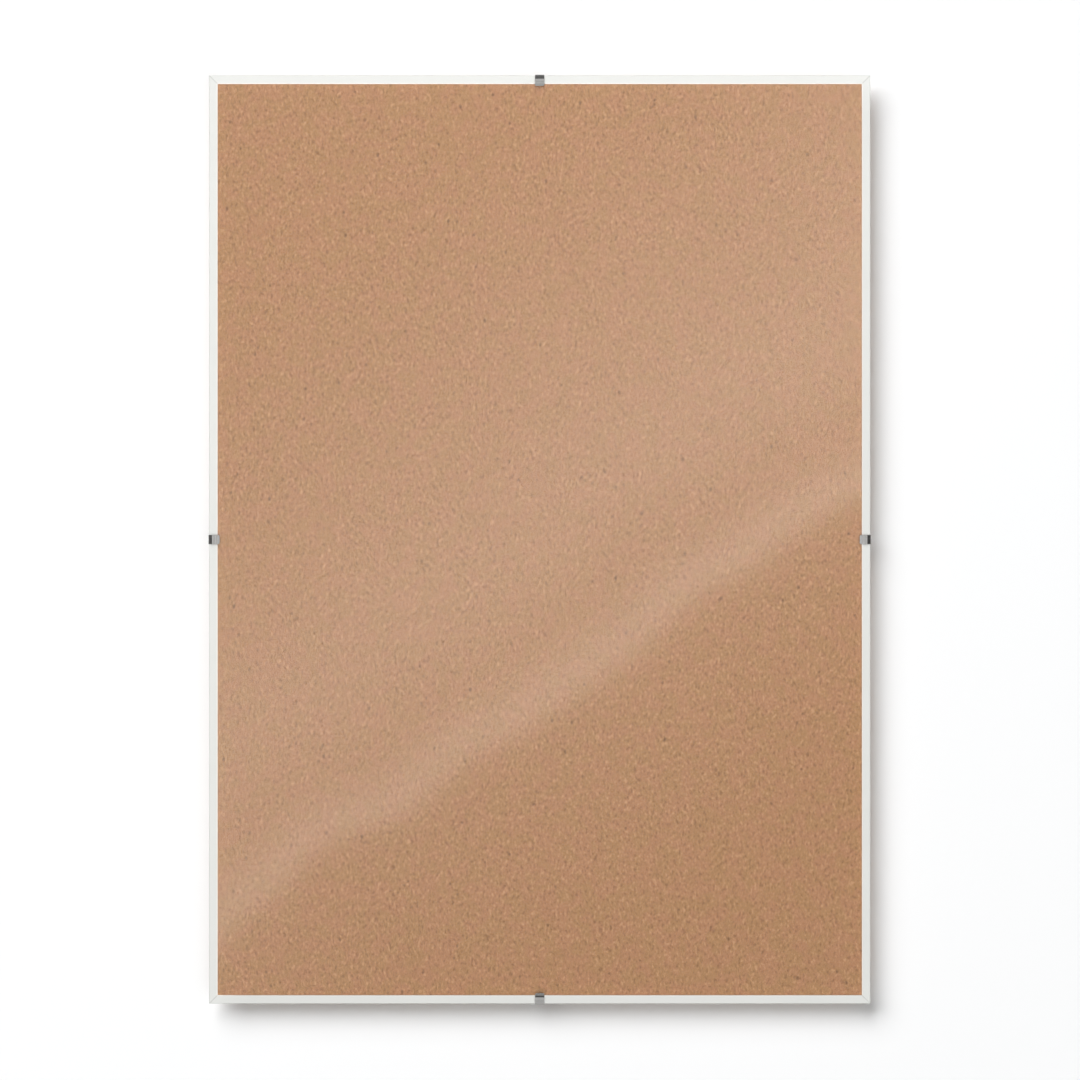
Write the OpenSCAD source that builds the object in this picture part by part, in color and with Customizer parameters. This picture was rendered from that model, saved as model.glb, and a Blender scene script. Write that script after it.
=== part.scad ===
// Frameless clip frame for wall hanging.
// A bevelled glass pane lies on a hardboard back, four spring clips hold the two
// together, and two wire rings on pressed plates hang it upright or sideways.
// The front of the frame faces -Y and its top is +Z.

/* [Picture] */
// Width of the picture and of the back board
picture_w = 420; // [240:1:900]
// Height of the picture and of the back board
picture_h = 594; // [240:1:1200]
// Thickness kept free for the print between pane and board
print_t = 0.3; // [0.1:0.1:1]

/* [Glass pane] */
// Thickness of the pane
glass_t = 2; // [1.6:0.1:5]
// Width of the ground bevel, which stands out past the picture on all sides
bevel_w = 5.5; // [4.5:0.1:10]
// Depth of the bevel at the edge of the pane
bevel_drop = 1; // [0.4:0.1:1.4]
// Width of the arris that blunts the outer edge of the bevel
arris_w = 0.5; // [0.2:0.1:0.6]
// Width of the arris on the rear edges of the pane
rear_arris_w = 0.2; // [0.1:0.05:0.3]

/* [Back board] */
// Thickness of the board
board_t = 3; // [2.8:0.1:6]
// Width of the chamfer sanded on the rear edges of the board
board_chamfer = 0.5; // [0.2:0.1:1]

/* [Spring clip] */
// Thickness of the spring steel
clip_t = 0.4; // [0.3:0.05:0.8]
// Width of the front lip, the web and the neck
lip_w = 6; // [4:0.1:9]
// Reach of the lip over the flat glass, past the bevel
lip_reach = 1.6; // [1.2:0.1:4]
// Height of the raised part of the lip above its foot on the glass
lip_rise = 0.8; // [0.6:0.1:1.2]
// Run of the slope between the foot and the raised part
slope_run = 1.3; // [1:0.1:1.5]
// Length of the upturned toe at the end of the lip
toe_run = 1.5; // [1:0.1:1.6]
// Height of the upturned toe
toe_rise = 0.2; // [0.1:0.05:0.4]
// Angle at which the lip falls from its ridge to the knee
fall_angle = 38; // [36:0.5:42]
// Bend radius of the knee over the edge of the pane, on the middle of the steel
knee_r = 0.8; // [0.6:0.1:0.9]
// Radius of the corners of the lip in plan
lip_corner_r = 0.8; // [0.4:0.1:1.5]
// Bend radius of the small bends, on the middle of the steel
bend_r = 0.6; // [0.5:0.05:0.65]
// Bend radius where the web turns into the rear arm
rear_bend_r = 1.1; // [0.8:0.1:1.4]
// Width of the rear arm
arm_w = 15; // [11:0.5:24]
// Length of the shoulders that widen the neck into the arm
shoulder_l = 7; // [4:0.5:10]
// Distance of the bowed crest from the edge of the pane
crest_in = 13; // [11:0.5:16]
// Height of the bowed crest over the board
crest_rise = 3.2; // [2.4:0.1:4.5]
// Bend radius of the bowed crest, on the middle of the steel
crest_r = 16; // [8:1:20]
// Height at which the arm leaves the web, over the board
root_rise = 1.9; // [1.7:0.1:2.3]
// Length of the part of the arm that lies flat on the board
land_l = 6.5; // [6:0.5:10]
// Length of the flat part on the outer side of the tooth
land_lead = 2.5; // [2:0.1:3]
// Bend radius between the bow and the flat part
land_r = 5; // [2:0.5:6]
// Run of the upturned finger tab
tab_run = 5; // [3:0.5:8]
// Height of the upturned finger tab
tab_rise = 3.4; // [2:0.1:5]
// Bend radius between the flat part and the finger tab
tab_r = 3; // [1.5:0.5:4]
// Radius of the corners of the finger tab
tab_corner_r = 3.5; // [1:0.5:5]
// Width of the tooth that is lanced from the arm
tooth_w = 4; // [3:0.5:6]
// Depth that the tooth reaches into the board
tooth_l = 1.4; // [1:0.1:1.6]
// Distance of the tooth from the edge of the pane
tooth_in = 28; // [27:0.5:34]

/* [Hanger] */
// Distance of the hinge from the edge of the pane
hinge_in = 70; // [66:1:90]
// Thickness of the hanger plate
plate_t = 0.8; // [0.6:0.1:1]
// Width of the hanger plate and of its curled barrel
plate_w = 14; // [12:0.5:20]
// Length of the hanger plate under the hinge
plate_l = 24; // [20:1:34]
// Radius of the plate's lower corners
plate_corner_r = 3; // [1:0.5:5]
// Diameter of the pressed dimple
dimple_d = 6; // [4:0.5:8]
// Height of the pressed dimple
dimple_rise = 0.5; // [0.3:0.1:0.7]
// Place of the dimple under the hinge, as a share of the plate's length
dimple_share = 0.52; // [0.5:0.01:0.54]
// Depth that the prongs bite into the board
prong_l = 2; // [1.5:0.1:2.3]
// Width of a prong
prong_w = 2.6; // [2:0.1:4]
// Width of a prong at its tip
prong_tip_w = 0.9; // [0.5:0.1:1.2]
// Place of the upper prongs under the hinge, as a share of the plate's length
upper_prong_share = 0.3; // [0.25:0.01:0.35]
// Place of the lower prongs under the hinge, as a share of the plate's length
lower_prong_share = 0.72; // [0.68:0.01:0.76]
// Diameter of the ring wire
wire_d = 1.6; // [1.2:0.1:2]
// Half the width of the wire triangle, between the wire's middle lines
ring_half_w = 11.5; // [11.5:0.5:18]
// Height of the wire triangle, between the wire's middle lines
ring_h = 21; // [16:0.5:24]
// Bend radius at the hinged corners of the triangle
ring_corner_r = 2; // [1.5:0.1:2.2]
// Bend radius at the tip of the triangle, where the nail sits
ring_tip_r = 3; // [2:0.1:4]
// Angle that the barrel curls round the wire
curl_angle = 290; // [240:5:300]

/* [Clearances] */
// Gap between a clip and the glass
clip_gap = 0.1; // [0.05:0.05:0.15]
// Gap between a clip and the back of the board
arm_gap = 0.1; // [0.05:0.05:0.3]
// Gap round a clip's tooth in its slot
slot_gap = 0.3; // [0.1:0.05:0.5]
// Gap past the edge of the pane when a clip is pulled off
release_gap = 0.9; // [0.5:0.1:2]
// Radial play of the ring wire in the barrel
hinge_play = 0.08; // [0.03:0.01:0.1]
// Gap round a prong in the board
prong_gap = 0.05; // [0:0.01:0.1]
// Gap between the two ends of the ring wire inside the barrel
wire_end_gap = 0.6; // [0.2:0.1:2]

/* [Hidden] */
$fn = 48;

// Colours of the pieces
glass_colour = [0.9, 0.92, 0.91, 0.4];
board_colour = [0.73, 0.56, 0.43];
steel_colour = [0.72, 0.72, 0.7];
zinc_colour = [0.66, 0.67, 0.68];

// Length that a cutter runs past the surface it opens
cut_past = 1;
// Length by which a straight runs into the bend beside it, so that the two are one
seam = 0.02;
// Swelling of a bent wire over a straight one, which keeps their surfaces apart
wire_swell = 0.01;

// Pane, and the depth of the board's back behind the front of the glass
pane_w = picture_w + 2 * bevel_w;
pane_h = picture_h + 2 * bevel_w;
board_front = glass_t + print_t;
board_back = board_front + board_t;

// Middle line of the clip as [distance outward from the pane's edge, depth behind
// the front of the glass], from the toe of the lip over the web to the finger tab
lip_in = bevel_w + lip_reach;
foot_depth = -clip_gap - clip_t / 2;
raised_depth = foot_depth - lip_rise;
web_out = clip_gap + clip_t / 2;
// The lip falls from its ridge past the pane's corner, clear of it by the clip's gap
// and by what the knee's bend cuts from its own corner
corner_depth = bevel_drop + arris_w / 2;
knee_cut = knee_r * (1 / cos((90 - fall_angle) / 2) - 1);
fall_clear = (web_out + knee_cut) / cos(fall_angle);
knee_depth = corner_depth - fall_clear + web_out * tan(fall_angle);
ridge_in = (knee_depth - raised_depth) / tan(fall_angle) - web_out;
web_mid = [web_out, (knee_depth + board_back + root_rise) / 2];
land_depth = board_back + arm_gap + clip_t / 2;
land_in = tooth_in - land_lead;
front_line = [
    [-lip_in, foot_depth - toe_rise],
    [-lip_in + toe_run, foot_depth],
    [-lip_in + toe_run + slope_run, raised_depth],
    [-ridge_in, raised_depth],
    [web_out, knee_depth],
    web_mid
];
front_radii = [0, bend_r, bend_r, bend_r, knee_r, 0];
rear_line = [
    web_mid,
    [web_out, board_back + root_rise],
    [-crest_in, board_back + crest_rise],
    [-land_in, land_depth],
    [-land_in - land_l, land_depth],
    [-land_in - land_l - tab_run, land_depth + tab_rise]
];
rear_radii = [0, rear_bend_r, crest_r, land_r, tab_r, 0];
arm_end_in = land_in + land_l + tab_run;
// The window is as long as the tooth was before it was bent out of the arm
window_l = tooth_l + arm_gap + clip_t / 2;
window_w = tooth_w + slot_gap;

// Slot in the board: the tooth can move outward by the whole travel of the clip
clip_travel = lip_in + release_gap;
slot_w = tooth_w + 2 * slot_gap;
slot_depth = tooth_l + slot_gap;
slot_end_room = slot_w / 2 - sqrt(pow(slot_w / 2, 2) - pow(tooth_w / 2, 2));
slot_inner_in = tooth_in + clip_t / 2 + slot_gap + slot_end_room;
slot_outer_in = tooth_in - clip_travel - clip_t / 2 - slot_gap - slot_end_room;

// The origin is the middle of the whole frame, so the front of the glass lies at
// front_y, half way between the raised lips and the finger tabs
tab_angle = atan2(tab_rise, tab_run);
frame_front = raised_depth - clip_t / 2;
frame_back = land_depth + tab_rise + clip_t / 2 * cos(tab_angle);
front_y = -(frame_front + frame_back) / 2;

// Hanger: the barrel lies on the board and the wire runs through its middle
barrel_bore_r = wire_d / 2 + hinge_play;
barrel_r = barrel_bore_r + plate_t;
hinge_y = front_y + board_back + barrel_r;
prong_places = [plate_l * upper_prong_share, plate_l * lower_prong_share];
dimple_in = plate_l * dimple_share;

// Unit vector from a to b
function heading(a, b) = (b - a) / norm(b - a);

// Signed angle by which the line a, b, c turns at b
function turn(a, b, c) =
    let (d = heading(a, b), e = heading(b, c))
    atan2(d.x * e.y - d.y * e.x, d.x * e.x + d.y * e.y);

// Length of a straight that the bend at point i takes away on each side
function bend_cut(line, radii, i) =
    i == 0 || i == len(line) - 1
        ? 0
        : radii[i] * tan(abs(turn(line[i - 1], line[i], line[i + 1])) / 2);

// Start, length and angle of the straight that follows point i
function straight(line, radii, i) =
    let (
        d = heading(line[i], line[i + 1]),
        cut_a = bend_cut(line, radii, i),
        cut_b = bend_cut(line, radii, i + 1)
    )
    [line[i] + d * cut_a, norm(line[i + 1] - line[i]) - cut_a - cut_b, atan2(d.y, d.x)];

// Middle, start angle and sweep of the bend at point i
function bend(line, radii, i) =
    let (
        d = heading(line[i - 1], line[i]),
        sweep = turn(line[i - 1], line[i], line[i + 1]),
        side = sign(sweep),
        start = line[i] - d * bend_cut(line, radii, i)
    )
    [
        start + side * radii[i] * [-d.y, d.x],
        atan2(d.y, d.x) - side * 90,
        sweep
    ];

// Sector of a flat ring of mean radius r and width t, from angle a over sweep
module ring_sector(r, t, a, sweep) {
    far = 3 * (r + t);
    intersection() {
        difference() {
            circle(r + t / 2);
            circle(r - t / 2);
        }
        polygon([
            [0, 0],
            far * [cos(a), sin(a)],
            far * [cos(a + sweep / 2), sin(a + sweep / 2)],
            far * [cos(a + sweep), sin(a + sweep)]
        ]);
    }
}

// Section of a strip of thickness t that follows a line with round bends
module strip_section(line, radii, t) {
    for (i = [0 : len(line) - 2]) {
        s = straight(line, radii, i);
        translate(s[0])
            rotate(s[2])
            translate([-seam, -t / 2])
            square([s[1] + 2 * seam, t]);
    }
    for (i = [1 : len(line) - 2]) {
        b = bend(line, radii, i);
        translate(b[0])
            ring_sector(radii[i], t, b[1], b[2]);
    }
}

// Strip of width w: the section's first coordinate becomes Z and its second Y
module strip(line, radii, t, w) {
    rotate([0, -90, 0])
        linear_extrude(w, center = true)
        strip_section(line, radii, t);
}

// Cutter that keeps the outline drawn in X and Z over the whole depth of a clip
module plan_cutter() {
    rotate([90, 0, 0])
        linear_extrude(4 * (board_back + crest_rise + tab_rise), center = true)
        children();
}

// Rectangle from x = -w/2 to w/2 and y = low to high, with round lower corners
module round_foot(w, low, high, r) {
    translate([-w / 2, low + r])
        square([w, high - low - r]);
    translate([-w / 2 + r, low])
        square([w - 2 * r, r]);
    for (side = [-1, 1])
        translate([side * (w / 2 - r), low + r])
            circle(r);
}

// Puts an item that is drawn for the top edge at the edge turned by angle
module at_edge(angle, edge_distance) {
    rotate([0, angle, 0])
        translate([0, front_y, edge_distance])
        children();
}

// Front lip, ridge and web of a clip
module clip_lip() {
    intersection() {
        strip(front_line, front_radii, clip_t, lip_w);
        plan_cutter()
            round_foot(lip_w, -lip_in - clip_t, web_out + clip_t, lip_corner_r);
    }
}

// Outline of the rear arm: a neck, shoulders and a plate with a round end
module arm_outline() {
    neck_low = -shoulder_l / 2;
    translate([-lip_w / 2, neck_low])
        square([lip_w, web_out + clip_t - neck_low]);
    polygon([
        [-lip_w / 2, neck_low],
        [-arm_w / 2, neck_low - shoulder_l],
        [arm_w / 2, neck_low - shoulder_l],
        [lip_w / 2, neck_low]
    ]);
    round_foot(arm_w, -arm_end_in - clip_t, neck_low - shoulder_l, tab_corner_r);
}

// Rear arm with the window that the tooth leaves
module clip_arm() {
    difference() {
        intersection() {
            strip(rear_line, rear_radii, clip_t, arm_w);
            plan_cutter()
                arm_outline();
        }
        translate([-window_w / 2, board_back, -tooth_in - clip_t / 2 - window_l])
            cube([window_w, arm_gap + clip_t + cut_past, window_l]);
    }
}

// Tooth, bent square out of the arm into the slot of the board
module clip_tooth() {
    translate([-tooth_w / 2, board_back - tooth_l, -tooth_in - clip_t / 2])
        cube([tooth_w, tooth_l + arm_gap + clip_t, clip_t]);
}

// One spring clip, drawn for the top edge
module spring_clip() {
    color(steel_colour) {
        clip_lip();
        clip_arm();
        clip_tooth();
    }
}

// Slot for one tooth, routed from the back of the board
module tooth_slot() {
    translate([0, board_back - slot_depth, 0])
        rotate([-90, 0, 0])
        linear_extrude(slot_depth + cut_past) {
            translate([-slot_w / 2, slot_outer_in + slot_w / 2])
                square([slot_w, slot_inner_in - slot_outer_in - slot_w]);
            for (z = [slot_outer_in + slot_w / 2, slot_inner_in - slot_w / 2])
                translate([0, z])
                    circle(slot_w / 2);
        }
}

// Section of one rim of the pane, as [distance in from the edge, depth]
rim_points = [
    [bevel_w, 0],
    [arris_w, bevel_drop * (1 - arris_w / bevel_w)],
    [0, corner_depth],
    [0, glass_t - rear_arris_w],
    [rear_arris_w, glass_t]
];

// Section of the pane across a size, as [across, depth]
module pane_section(size) {
    count = len(rim_points);
    polygon([
        for (i = [0 : count - 1])
            [rim_points[i].x - size / 2, rim_points[i].y],
        for (i = [count - 1 : -1 : 0])
            [size / 2 - rim_points[i].x, rim_points[i].y]
    ]);
}

// Section of the board across a size, as [across, depth]
module board_section(size) {
    polygon([
        [-size / 2, board_front],
        [size / 2, board_front],
        [size / 2, board_back - board_chamfer],
        [size / 2 - board_chamfer, board_back],
        [-size / 2 + board_chamfer, board_back],
        [-size / 2, board_back - board_chamfer]
    ]);
}

// Prongs of one hanger plate, grown by gap on every side
module prongs(gap) {
    for (side = [-1, 1], z = prong_places)
        translate([side * (plate_w / 2 - plate_t / 2), -barrel_r, -z])
            rotate([0, 90, 0])
            linear_extrude(plate_t + 2 * gap, center = true)
            polygon([
                [-prong_w / 2 - gap, plate_t],
                [-prong_w / 2 - gap, -prong_l / 2],
                [-prong_tip_w / 2 - gap, -prong_l - gap],
                [prong_tip_w / 2 + gap, -prong_l - gap],
                [prong_w / 2 + gap, -prong_l / 2],
                [prong_w / 2 + gap, plate_t]
            ]);
}

// Puts a hanger item, drawn round its hinge, at the edge turned by angle
module at_hinge(angle, edge_distance) {
    rotate([0, angle, 0])
        translate([0, hinge_y, edge_distance - hinge_in])
        children();
}

// Barrel of the hanger plate: a curl that stays open over the plate
module barrel() {
    open_angle = 360 - curl_angle;
    rotate([0, -90, 0])
        linear_extrude(plate_w, center = true)
        difference() {
            circle(barrel_r);
            circle(barrel_bore_r);
            polygon([
                [0, 0],
                2 * barrel_r * [cos(270 - open_angle), sin(270 - open_angle)],
                2 * barrel_r * [cos(270 - open_angle / 2), sin(270 - open_angle / 2)],
                2 * barrel_r * [cos(270), sin(270)]
            ]);
        }
}

// Pressed hanger plate with barrel, dimple and prongs
module hanger_plate() {
    color(zinc_colour) {
        difference() {
            translate([0, -barrel_r + plate_t, 0])
                rotate([90, 0, 0])
                linear_extrude(plate_t)
                round_foot(plate_w, -plate_l, 0, plate_corner_r);
            translate([0, -barrel_r, -dimple_in])
                rotate([-90, 0, 0])
                cylinder(h = dimple_rise, d = dimple_d - 2 * plate_t);
        }
        translate([0, -barrel_r + plate_t, -dimple_in])
            rotate([-90, 0, 0])
            cylinder(h = dimple_rise, d1 = dimple_d, d2 = dimple_d - 2 * dimple_rise);
        barrel();
        prongs(0);
    }
}

// Wire of radius r that follows a line in X and Z with round bends
module wire(line, radii, r) {
    rotate([90, 0, 0]) {
        for (i = [0 : len(line) - 2]) {
            s = straight(line, radii, i);
            translate([s[0].x, s[0].y, 0])
                rotate([0, 0, s[2]])
                rotate([0, 90, 0])
                translate([0, 0, -seam])
                cylinder(h = s[1] + 2 * seam, r = r);
        }
        for (i = [1 : len(line) - 2]) {
            b = bend(line, radii, i);
            translate([b[0].x, b[0].y, 0])
                rotate([0, 0, b[1]])
                rotate_extrude(angle = b[2])
                translate([radii[i], 0])
                circle(r + wire_swell);
        }
    }
}

// Triangular hanger ring with its hinged side through the barrel
module hanger_ring() {
    color(zinc_colour)
        wire(
            [
                [wire_end_gap / 2, 0],
                [ring_half_w, 0],
                [0, ring_h],
                [-ring_half_w, 0],
                [-wire_end_gap / 2, 0]
            ],
            [0, ring_corner_r, ring_tip_r, ring_corner_r, 0],
            wire_d / 2
        );
}

// Bevelled pane: the bevels of both directions meet in mitres at the corners
module glass_pane() {
    color(glass_colour)
        translate([0, front_y, 0])
        intersection() {
            linear_extrude(pane_h, center = true)
                pane_section(pane_w);
            rotate([0, -90, 0])
                linear_extrude(pane_w, center = true)
                pane_section(pane_h);
        }
}

// Hardboard back with four tooth slots and the seats of the hanger prongs
module back_board() {
    color(board_colour)
        difference() {
            translate([0, front_y, 0])
                intersection() {
                    linear_extrude(picture_h, center = true)
                        board_section(picture_w);
                    rotate([0, -90, 0])
                        linear_extrude(picture_w, center = true)
                        board_section(picture_h);
                }
            for (angle = [0, 180])
                at_edge(angle, pane_h / 2)
                    tooth_slot();
            for (angle = [-90, 90])
                at_edge(angle, pane_w / 2)
                    tooth_slot();
            at_hinge(0, pane_h / 2)
                prongs(prong_gap);
            at_hinge(90, pane_w / 2)
                prongs(prong_gap);
        }
}

module clip_top() {
    at_edge(0, pane_h / 2)
        spring_clip();
}

module clip_bottom() {
    at_edge(180, pane_h / 2)
        spring_clip();
}

module clip_left() {
    at_edge(-90, pane_w / 2)
        spring_clip();
}

module clip_right() {
    at_edge(90, pane_w / 2)
        spring_clip();
}

module hanger_plate_top() {
    at_hinge(0, pane_h / 2)
        hanger_plate();
}

module hanger_plate_side() {
    at_hinge(90, pane_w / 2)
        hanger_plate();
}

module hanger_ring_top() {
    at_hinge(0, pane_h / 2)
        hanger_ring();
}

module hanger_ring_side() {
    at_hinge(90, pane_w / 2)
        hanger_ring();
}

glass_pane();
back_board();
clip_top();
clip_bottom();
clip_left();
clip_right();
hanger_plate_top();
hanger_plate_side();
hanger_ring_top();
hanger_ring_side();
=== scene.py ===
"""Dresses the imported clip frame: pane, hardboard back, spring clips and hangers.

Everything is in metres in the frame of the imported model: X to the right, Y away from
the viewer, Z up, with the origin in the middle of the frame.
"""

import logging
import math
from collections.abc import Iterator
from contextlib import contextmanager
from dataclasses import dataclass, field
from enum import Enum

import bmesh
import bpy
import numpy as np
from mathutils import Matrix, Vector


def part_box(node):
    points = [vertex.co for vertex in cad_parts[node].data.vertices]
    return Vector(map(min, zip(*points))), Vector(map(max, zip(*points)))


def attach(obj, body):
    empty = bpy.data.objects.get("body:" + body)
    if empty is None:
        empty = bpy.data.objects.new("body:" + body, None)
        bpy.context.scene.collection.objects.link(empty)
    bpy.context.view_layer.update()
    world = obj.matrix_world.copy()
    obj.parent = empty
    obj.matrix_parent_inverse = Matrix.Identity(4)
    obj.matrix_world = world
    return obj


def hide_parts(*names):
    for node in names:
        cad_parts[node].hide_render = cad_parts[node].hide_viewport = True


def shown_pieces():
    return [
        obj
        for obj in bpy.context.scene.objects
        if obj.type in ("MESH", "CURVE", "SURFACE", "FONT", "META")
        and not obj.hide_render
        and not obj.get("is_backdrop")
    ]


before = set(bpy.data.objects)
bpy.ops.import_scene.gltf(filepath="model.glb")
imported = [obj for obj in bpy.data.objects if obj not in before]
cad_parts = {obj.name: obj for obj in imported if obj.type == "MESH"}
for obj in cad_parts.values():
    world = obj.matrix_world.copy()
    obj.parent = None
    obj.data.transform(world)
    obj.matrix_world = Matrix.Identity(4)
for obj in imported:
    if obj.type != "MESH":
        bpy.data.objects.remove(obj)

Line = tuple[tuple[float, float], ...]
Triple = tuple[float, float, float]
Colour = Triple
Socket = bpy.types.NodeSocket
Sockets = dict[str, Socket]

MM = 0.001

# Names of the surface coordinates and of the attribute that finishes read.
ALONG = "along"
# The attribute marks the band where the ground glass paints a lighter line as a
# highlight.
PAINTED_HIGHLIGHT_LINE = "rim"

# The pane's sizes in millimetres, which the pieces at its edges share.
PANE_W = 431.0
PANE_H = 605.0
FRONT_Y = -3.93269

# Fineness of the bends in a path: the longest turn of a step, and the fewest steps.
BEND_STEP = math.radians(6)
LEAST_BEND_STEPS = 6

logging.basicConfig(level=logging.INFO, format="%(name)s: %(message)s")
log = logging.getLogger("clip_frame")


class Slot(Enum):
    """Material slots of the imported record."""

    GLASS = "glass"
    HARDBOARD = "hardboard"
    CLIP_STEEL = "clip_steel"
    HANGER_STEEL = "hanger_steel"
    RING_WIRE = "ring_wire"


class Edge(Enum):
    """Edges of the frame, each with its turn about the Y axis from the top edge."""

    TOP = 0
    RIGHT = 90
    BOTTOM = 180
    LEFT = -90

    @property
    def distance(self) -> float:
        """Distance in millimetres of the edge from the middle of the pane."""
        return (PANE_H if self in (Edge.TOP, Edge.BOTTOM) else PANE_W) / 2

    def place(self, points: np.ndarray) -> np.ndarray:
        """Turns points drawn for the top edge to this edge.

        The turn about Y by an angle a sends (x, z) to
        (x cos a + z sin a, z cos a - x sin a).

        Args:
            points: Array of shape (..., 3), drawn for the top edge.

        Returns:
            The turned points, in an array of the same shape.
        """
        a = math.radians(self.value)
        turn = np.array(
            [[math.cos(a), 0, math.sin(a)], [0, 1, 0], [-math.sin(a), 0, math.cos(a)]]
        )
        return points @ turn.T


# Shader node helpers


class Graph:
    """A node tree being built, with short ways to add nodes and join sockets."""

    def __init__(self, tree: bpy.types.NodeTree) -> None:
        """Takes over the tree of a material, world or group and empties it."""
        self.tree = tree
        tree.nodes.clear()

    def node(self, kind: str, inputs: dict | None = None, **settings) -> bpy.types.Node:
        """Adds a node.

        Args:
            kind: Blender's type name of the node.
            inputs: Values or sockets by the name or index of the input.
            **settings: Properties of the node.

        Returns:
            The new node.
        """
        made = self.tree.nodes.new(kind)
        for name, value in settings.items():
            setattr(made, name, value)
        for name, value in (inputs or {}).items():
            self.feed(made.inputs[name], value)
        return made

    def feed(self, socket: Socket, value: object) -> None:
        """Joins another socket to a socket, or sets its plain value.

        Args:
            socket: Input to feed.
            value: Output socket, number, colour or vector.
        """
        if isinstance(value, Socket):
            self.tree.links.new(value, socket)
        elif socket.type == "RGBA" and len(value) == 3:
            socket.default_value = (*value, 1.0)
        else:
            socket.default_value = value

    def place(self) -> Socket:
        """Returns the object coordinates, which are the frame's own in metres."""
        return self.node("ShaderNodeTexCoord").outputs["Object"]

    def uv(self) -> Socket:
        """Returns the piece's own surface coordinates."""
        return self.node("ShaderNodeUVMap", uv_map=ALONG).outputs["UV"]

    def attribute(self, name: str) -> Socket:
        """Returns the value of a named attribute of the mesh."""
        return self.node("ShaderNodeAttribute", attribute_name=name).outputs["Fac"]

    def parts(self, vector: Socket) -> bpy.types.bpy_prop_collection:
        """Returns the outputs X, Y and Z of a vector that is taken apart."""
        return self.node("ShaderNodeSeparateXYZ", {0: vector}).outputs

    def mapping(self, vector: Socket, scale: Triple, turn: float = 0.0) -> Socket:
        """Scales coordinates, and turns them about the Y axis.

        Args:
            vector: Coordinates to change.
            scale: Factor on each axis.
            turn: Turn in degrees.

        Returns:
            The changed coordinates.
        """
        angles = (0.0, math.radians(turn), 0.0)
        inputs = {"Vector": vector, "Rotation": angles, "Scale": scale}
        return self.node("ShaderNodeMapping", inputs).outputs["Vector"]

    def noise(self, vector: Socket, scale: float, *layers: float) -> Socket:
        """Returns a noise value of about 0 to 1.

        Args:
            vector: Coordinates.
            scale: Number of blobs per unit of the coordinates.
            *layers: Number of finer layers, their weight, and the amount of warping.

        Returns:
            The noise value.
        """
        inputs = {"Vector": vector, "Scale": scale}
        inputs |= dict(zip(("Detail", "Roughness", "Distortion"), layers))
        return self.node("ShaderNodeTexNoise", inputs).outputs["Fac"]

    def cells(self, vector: Socket, scale: float, output: str = "Distance") -> Socket:
        """Returns the distance to the nearest of scattered points, or its colour."""
        inputs = {"Vector": vector, "Scale": scale}
        return self.node("ShaderNodeTexVoronoi", inputs).outputs[output]

    def ramp(
        self,
        value: Socket,
        low: float,
        high: float,
        to: tuple[float, float] = (0.0, 1.0),
        smooth: bool = True,
    ) -> Socket:
        """Carries a value between two limits to a new range, and clamps it.

        Args:
            value: Value to carry.
            low: Value that becomes the first of `to`.
            high: Value that becomes the second of `to`.
            to: New range.
            smooth: Whether the ends are eased.

        Returns:
            The carried value.
        """
        inputs = {"Value": value, "From Min": low, "From Max": high}
        inputs |= {"To Min": to[0], "To Max": to[1]}
        easing = "SMOOTHSTEP" if smooth else "LINEAR"
        made = self.node("ShaderNodeMapRange", inputs, interpolation_type=easing)
        return made.outputs["Result"]

    def math(self, operation: str, *values: object) -> Socket:
        """Returns the outcome of a calculation on sockets and numbers."""
        inputs = dict(enumerate(values))
        return self.node("ShaderNodeMath", inputs, operation=operation).outputs["Value"]

    def mix(self, amount: object, first: object, second: object) -> Socket:
        """Returns two colours mixed by the share of the second."""
        inputs = {"Factor": amount, 6: first, 7: second}
        return self.node("ShaderNodeMix", inputs, data_type="RGBA").outputs[2]

    def bump(self, height: Socket, strength: float, distance: float) -> Socket:
        """Returns the normal that a height gives, where 1 is a distance in metres."""
        inputs = {"Height": height, "Strength": strength, "Distance": distance}
        return self.node("ShaderNodeBump", inputs).outputs["Normal"]

    def stops(self, value: Socket, points: Line) -> Socket:
        """Reads a curve through grey stops.

        Args:
            value: Place along the curve, from 0 to 1.
            points: Place and grey value of each stop.

        Returns:
            The curve's value as a colour.
        """
        made = self.node("ShaderNodeValToRGB", {"Fac": value})
        ramp = made.color_ramp
        ramp.interpolation = "B_SPLINE"
        while len(ramp.elements) < len(points):
            ramp.elements.new(0.5)
        for element, (at, grey) in zip(ramp.elements, points):
            element.position = at
            element.color = (grey, grey, grey, 1.0)
        return made.outputs["Color"]

    def principled(self, inputs: dict[str, object]) -> Socket:
        """Returns a Principled shader with inputs by name."""
        return self.node("ShaderNodeBsdfPrincipled", inputs).outputs["BSDF"]

    def shader_mix(self, amount: Socket, first: Socket, second: Socket) -> Socket:
        """Returns two shaders mixed by the share of the second."""
        inputs = {0: amount, 1: first, 2: second}
        return self.node("ShaderNodeMixShader", inputs).outputs["Shader"]

    def clear(self, colour: Colour = (1.0, 1.0, 1.0)) -> Socket:
        """Returns a shader that lets light straight through."""
        made = self.node("ShaderNodeBsdfTransparent", {"Color": colour})
        return made.outputs["BSDF"]


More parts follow.
